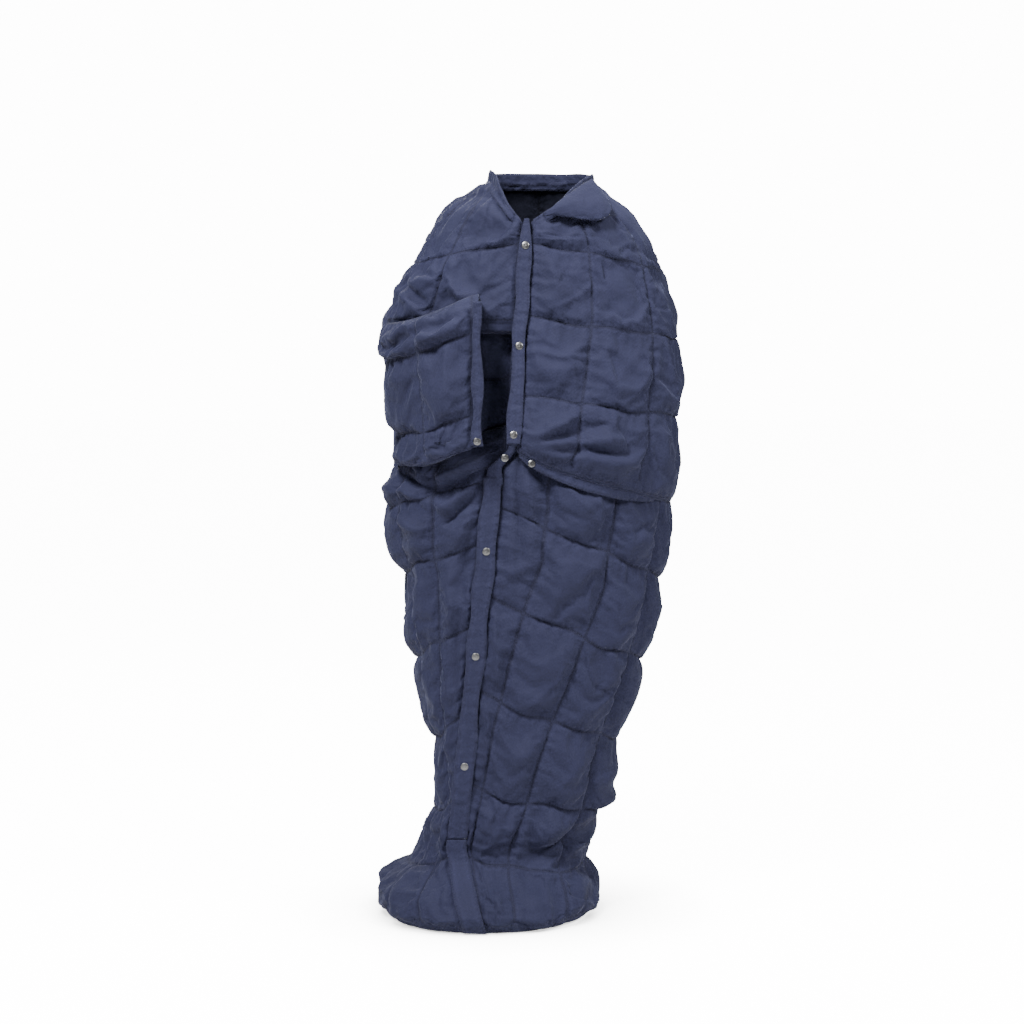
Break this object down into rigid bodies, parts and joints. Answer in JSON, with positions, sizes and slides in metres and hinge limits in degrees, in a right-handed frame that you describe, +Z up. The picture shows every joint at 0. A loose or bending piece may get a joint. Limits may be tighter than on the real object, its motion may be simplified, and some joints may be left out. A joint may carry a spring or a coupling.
{
  "type": "wearable quilted snap blanket",
  "caption": "Quilted, down-filled blanket worn as a wrap: closed down the front with press studs, with two arm openings, a folded lapel and a floor-length hem.",
  "frame": {"origin": "on the floor, under the middle of the standing blanket", "axes": "+Z up, -Y the front where it closes, +X the side of the right cape (the wearer's left arm)"},
  "size_m": [0.6113, 0.4945, 1.4766],
  "materials": {
    "shell_fabric": "matte woven cotton",
    "lining_fabric": "matte woven cotton",
    "binding_fabric": "matte woven tape",
    "down": "soft filling",
    "press_studs": "satin nickel"
  },
  "bodies": {
    "blanket": {"back_down": "down", "back_lining": "lining_fabric", "back_shell": "shell_fabric", "chest_snap_posts": "press_studs", "chest_snap_studs": "press_studs", "chest_under_strip": "binding_fabric", "floor_hem": "binding_fabric", "foot_placket": "binding_fabric", "foot_under_strip": "binding_fabric", "inner_layer_down": "down", "inner_layer_lining": "lining_fabric", "inner_layer_shell": "shell_fabric", "inner_under_strip": "binding_fabric", "left_cape_down": "down", "left_cape_lining": "lining_fabric", "left_cape_shell": "shell_fabric", "left_skirt_down": "down", "left_skirt_lining": "lining_fabric", "left_skirt_shell": "shell_fabric", "left_sleeve_down": "down", "left_sleeve_hem": "binding_fabric", "left_sleeve_lining": "lining_fabric", "left_sleeve_shell": "shell_fabric", "neck_binding": "binding_fabric", "right_cape_down": "down", "right_cape_hem": "binding_fabric", "right_cape_lining": "lining_fabric", "right_cape_shell": "shell_fabric", "right_skirt_down": "down", "right_skirt_lining": "lining_fabric", "right_skirt_shell": "shell_fabric", "skirt_snap_posts": "press_studs", "skirt_snap_studs": "press_studs", "skirt_under_strip": "binding_fabric", "waist_snap_cap": "press_studs", "waist_strip": "binding_fabric"},
    "chest_placket": {"chest_placket": "binding_fabric", "chest_snap_caps": "press_studs", "chest_snap_sockets": "press_studs"},
    "skirt_placket": {"skirt_placket": "binding_fabric", "skirt_snap_caps": "press_studs", "skirt_snap_sockets": "press_studs"},
    "cuff_band": {"cuff_band": "binding_fabric", "cuff_snap_cap": "press_studs", "cuff_snap_socket": "press_studs"},
    "lapel": {"right_lapel": "binding_fabric"}
  },
  "joints": [
    {"name": "chest_placket_hinge", "type": "hinge", "parent": "blanket", "child": "chest_placket", "pos_m": [-0.01515, -0.17771, 0.946], "axis": [0.0615, 0.1583, 0.9855], "range_deg": [0, 80]},
    {"name": "skirt_placket_hinge", "type": "hinge", "parent": "blanket", "child": "skirt_placket", "pos_m": [-0.12075, -0.148, 0.17], "axis": [0.1012, -0.0098, 0.9948], "range_deg": [0, 80]},
    {"name": "cuff_band_hinge", "type": "hinge", "parent": "blanket", "child": "cuff_band", "pos_m": [-0.11325, -0.218, 1], "axis": [0, 0, -1], "range_deg": [0, 80]},
    {"name": "lapel_hinge", "type": "hinge", "parent": "blanket", "child": "lapel", "pos_m": [0.03044, -0.11497, 1.39051], "axis": [-0.607, -0.6334, -0.4799], "range_deg": [0, 25]}
  ]
}
